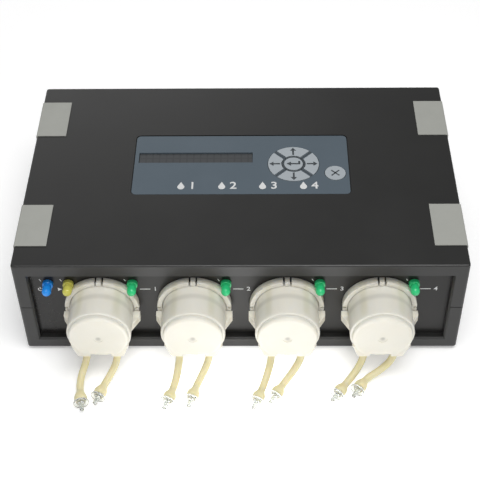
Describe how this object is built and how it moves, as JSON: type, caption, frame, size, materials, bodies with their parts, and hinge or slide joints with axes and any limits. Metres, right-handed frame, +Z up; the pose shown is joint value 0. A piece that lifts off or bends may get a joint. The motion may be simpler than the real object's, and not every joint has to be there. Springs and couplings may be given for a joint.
{
  "type": "peristaltic dosing pump",
  "caption": "Desk-top dosing pump: a black case with a keypad and display on top and milky peristaltic heads on its front, each with short tubes ending in clear hose connectors.",
  "frame": {"origin": "on the table under the middle of the pump, its tubes apart", "axes": "+X right as seen from the front, +Y to the back, +Z up; the heads point along -Y"},
  "size_m": [0.2408, 0.1957, 0.0684],
  "materials": {
    "case_abs": "moulded black ABS, fine satin",
    "pad_grey": "light grey moulded rubbery plastic, satin",
    "panel_black": "black sheet panel, semi-gloss",
    "foot_rubber": "matt black rubber",
    "screw_steel": "zinc plated",
    "overlay_film": "printed polyester film, gloss",
    "display_glass": "dark display glass in a metal frame",
    "key_film": "silver-grey printed film, satin",
    "circuit_board": "green solder mask",
    "inlet_plastic": "black nylon",
    "lamp_blue": "clear blue epoxy",
    "lamp_yellow": "clear yellow epoxy",
    "lamp_green": "clear green epoxy",
    "head_milky": "milky translucent polypropylene",
    "tube_silicone": "yellowish silicone tube, satin",
    "connector_clear": "clear moulded plastic",
    "rotor_white": "white acetal",
    "roller_acetal": "natural acetal",
    "motor_steel": "plated steel can"
  },
  "bodies": {
    "case": {"top_shell": "case_abs", "bottom_shell": "case_abs", "front_panel": "panel_black", "rear_panel": "panel_black", "corner_pads": "pad_grey", "rubber_feet": "foot_rubber", "case_screws": "screw_steel", "motor_screws": "screw_steel", "keypad_overlay": "overlay_film", "lcd_module": "display_glass", "keypad_board": "circuit_board", "control_board": "circuit_board", "dc_inlet": "inlet_plastic", "led_power": "lamp_blue", "led_running": "lamp_yellow", "channel_leds": "lamp_green", "head_mounts": "head_milky", "gear_motors": "motor_steel"},
    "key_up": {"key_up": "key_film"},
    "key_left": {"key_left": "key_film"},
    "key_down": {"key_down": "key_film"},
    "key_right": {"key_right": "key_film"},
    "key_enter": {"key_enter": "key_film"},
    "key_escape": {"key_escape": "key_film"},
    "head_1": {"head_cover_1": "head_milky", "pump_tube_1": "tube_silicone", "tail_1_left": "tube_silicone", "tail_1_right": "tube_silicone", "tube_connectors_1": "connector_clear"},
    "rotor_1": {"rotor_1": "rotor_white"},
    "roller_1_a": {"roller_1_a": "roller_acetal"},
    "roller_1_b": {"roller_1_b": "roller_acetal"},
    "roller_1_c": {"roller_1_c": "roller_acetal"},
    "head_2": {"head_cover_2": "head_milky", "pump_tube_2": "tube_silicone", "tail_2_left": "tube_silicone", "tail_2_right": "tube_silicone", "tube_connectors_2": "connector_clear"},
    "rotor_2": {"rotor_2": "rotor_white"},
    "roller_2_a": {"roller_2_a": "roller_acetal"},
    "roller_2_b": {"roller_2_b": "roller_acetal"},
    "roller_2_c": {"roller_2_c": "roller_acetal"},
    "head_3": {"head_cover_3": "head_milky", "pump_tube_3": "tube_silicone", "tail_3_left": "tube_silicone", "tail_3_right": "tube_silicone", "tube_connectors_3": "connector_clear"},
    "rotor_3": {"rotor_3": "rotor_white"},
    "roller_3_a": {"roller_3_a": "roller_acetal"},
    "roller_3_b": {"roller_3_b": "roller_acetal"},
    "roller_3_c": {"roller_3_c": "roller_acetal"},
    "head_4": {"head_cover_4": "head_milky", "pump_tube_4": "tube_silicone", "tail_4_left": "tube_silicone", "tail_4_right": "tube_silicone", "tube_connectors_4": "connector_clear"},
    "rotor_4": {"rotor_4": "rotor_white"},
    "roller_4_a": {"roller_4_a": "roller_acetal"},
    "roller_4_b": {"roller_4_b": "roller_acetal"},
    "roller_4_c": {"roller_4_c": "roller_acetal"}
  },
  "joints": [
    {"name": "key_up_press", "type": "slide", "parent": "case", "child": "key_up", "axis": [0, 0, -1], "range_m": [0, 0.0003], "stiffness_N_per_m": 500, "springref_m": -0.001},
    {"name": "key_left_press", "type": "slide", "parent": "case", "child": "key_left", "axis": [0, 0, -1], "range_m": [0, 0.0003], "stiffness_N_per_m": 500, "springref_m": -0.001},
    {"name": "key_down_press", "type": "slide", "parent": "case", "child": "key_down", "axis": [0, 0, -1], "range_m": [0, 0.0003], "stiffness_N_per_m": 500, "springref_m": -0.001},
    {"name": "key_right_press", "type": "slide", "parent": "case", "child": "key_right", "axis": [0, 0, -1], "range_m": [0, 0.0003], "stiffness_N_per_m": 500, "springref_m": -0.001},
    {"name": "key_enter_press", "type": "slide", "parent": "case", "child": "key_enter", "axis": [0, 0, -1], "range_m": [0, 0.0003], "stiffness_N_per_m": 500, "springref_m": -0.001},
    {"name": "key_escape_press", "type": "slide", "parent": "case", "child": "key_escape", "axis": [0, 0, -1], "range_m": [0, 0.0003], "stiffness_N_per_m": 500, "springref_m": -0.001},
    {"name": "head_1_pull_off", "type": "slide", "parent": "case", "child": "head_1", "axis": [0, -1, 0], "range_m": [0, 0.028]},
    {"name": "rotor_1_spin", "type": "hinge", "parent": "case", "child": "rotor_1", "pos_m": [-0.075, -0.0786, 0.035], "axis": [0, 1, 0], "continuous": true},
    {"name": "roller_1_a_spin", "type": "hinge", "parent": "rotor_1", "child": "roller_1_a", "pos_m": [-0.075, -0.0786, 0.0439], "axis": [0, 1, 0], "continuous": true},
    {"name": "roller_1_b_spin", "type": "hinge", "parent": "rotor_1", "child": "roller_1_b", "pos_m": [-0.08271, -0.0786, 0.03055], "axis": [0, 1, 0], "continuous": true},
    {"name": "roller_1_c_spin", "type": "hinge", "parent": "rotor_1", "child": "roller_1_c", "pos_m": [-0.06729, -0.0786, 0.03055], "axis": [0, 1, 0], "continuous": true},
    {"name": "head_2_pull_off", "type": "slide", "parent": "case", "child": "head_2", "axis": [0, -1, 0], "range_m": [0, 0.028]},
    {"name": "rotor_2_spin", "type": "hinge", "parent": "case", "child": "rotor_2", "pos_m": [-0.025, -0.0786, 0.035], "axis": [0, 1, 0], "continuous": true},
    {"name": "roller_2_a_spin", "type": "hinge", "parent": "rotor_2", "child": "roller_2_a", "pos_m": [-0.025, -0.0786, 0.0439], "axis": [0, 1, 0], "continuous": true},
    {"name": "roller_2_b_spin", "type": "hinge", "parent": "rotor_2", "child": "roller_2_b", "pos_m": [-0.03271, -0.0786, 0.03055], "axis": [0, 1, 0], "continuous": true},
    {"name": "roller_2_c_spin", "type": "hinge", "parent": "rotor_2", "child": "roller_2_c", "pos_m": [-0.01729, -0.0786, 0.03055], "axis": [0, 1, 0], "continuous": true},
    {"name": "head_3_pull_off", "type": "slide", "parent": "case", "child": "head_3", "axis": [0, -1, 0], "range_m": [0, 0.028]},
    {"name": "rotor_3_spin", "type": "hinge", "parent": "case", "child": "rotor_3", "pos_m": [0.025, -0.0786, 0.035], "axis": [0, 1, 0], "continuous": true},
    {"name": "roller_3_a_spin", "type": "hinge", "parent": "rotor_3", "child": "roller_3_a", "pos_m": [0.025, -0.0786, 0.0439], "axis": [0, 1, 0], "continuous": true},
    {"name": "roller_3_b_spin", "type": "hinge", "parent": "rotor_3", "child": "roller_3_b", "pos_m": [0.01729, -0.0786, 0.03055], "axis": [0, 1, 0], "continuous": true},
    {"name": "roller_3_c_spin", "type": "hinge", "parent": "rotor_3", "child": "roller_3_c", "pos_m": [0.03271, -0.0786, 0.03055], "axis": [0, 1, 0], "continuous": true},
    {"name": "head_4_pull_off", "type": "slide", "parent": "case", "child": "head_4", "axis": [0, -1, 0], "range_m": [0, 0.028]},
    {"name": "rotor_4_spin", "type": "hinge", "parent": "case", "child": "rotor_4", "pos_m": [0.075, -0.0786, 0.035], "axis": [0, 1, 0], "continuous": true},
    {"name": "roller_4_a_spin", "type": "hinge", "parent": "rotor_4", "child": "roller_4_a", "pos_m": [0.075, -0.0786, 0.0439], "axis": [0, 1, 0], "continuous": true},
    {"name": "roller_4_b_spin", "type": "hinge", "parent": "rotor_4", "child": "roller_4_b", "pos_m": [0.06729, -0.0786, 0.03055], "axis": [0, 1, 0], "continuous": true},
    {"name": "roller_4_c_spin", "type": "hinge", "parent": "rotor_4", "child": "roller_4_c", "pos_m": [0.08271, -0.0786, 0.03055], "axis": [0, 1, 0], "continuous": true}
  ],
  "couplings": [
    {"joint": "roller_1_a_spin", "follows": "rotor_1_spin", "ratio": -3.2317},
    {"joint": "roller_1_b_spin", "follows": "rotor_1_spin", "ratio": -3.2317},
    {"joint": "roller_1_c_spin", "follows": "rotor_1_spin", "ratio": -3.2317},
    {"joint": "roller_2_a_spin", "follows": "rotor_2_spin", "ratio": -3.2317},
    {"joint": "roller_2_b_spin", "follows": "rotor_2_spin", "ratio": -3.2317},
    {"joint": "roller_2_c_spin", "follows": "rotor_2_spin", "ratio": -3.2317},
    {"joint": "roller_3_a_spin", "follows": "rotor_3_spin", "ratio": -3.2317},
    {"joint": "roller_3_b_spin", "follows": "rotor_3_spin", "ratio": -3.2317},
    {"joint": "roller_3_c_spin", "follows": "rotor_3_spin", "ratio": -3.2317},
    {"joint": "roller_4_a_spin", "follows": "rotor_4_spin", "ratio": -3.2317},
    {"joint": "roller_4_b_spin", "follows": "rotor_4_spin", "ratio": -3.2317},
    {"joint": "roller_4_c_spin", "follows": "rotor_4_spin", "ratio": -3.2317}
  ]
}
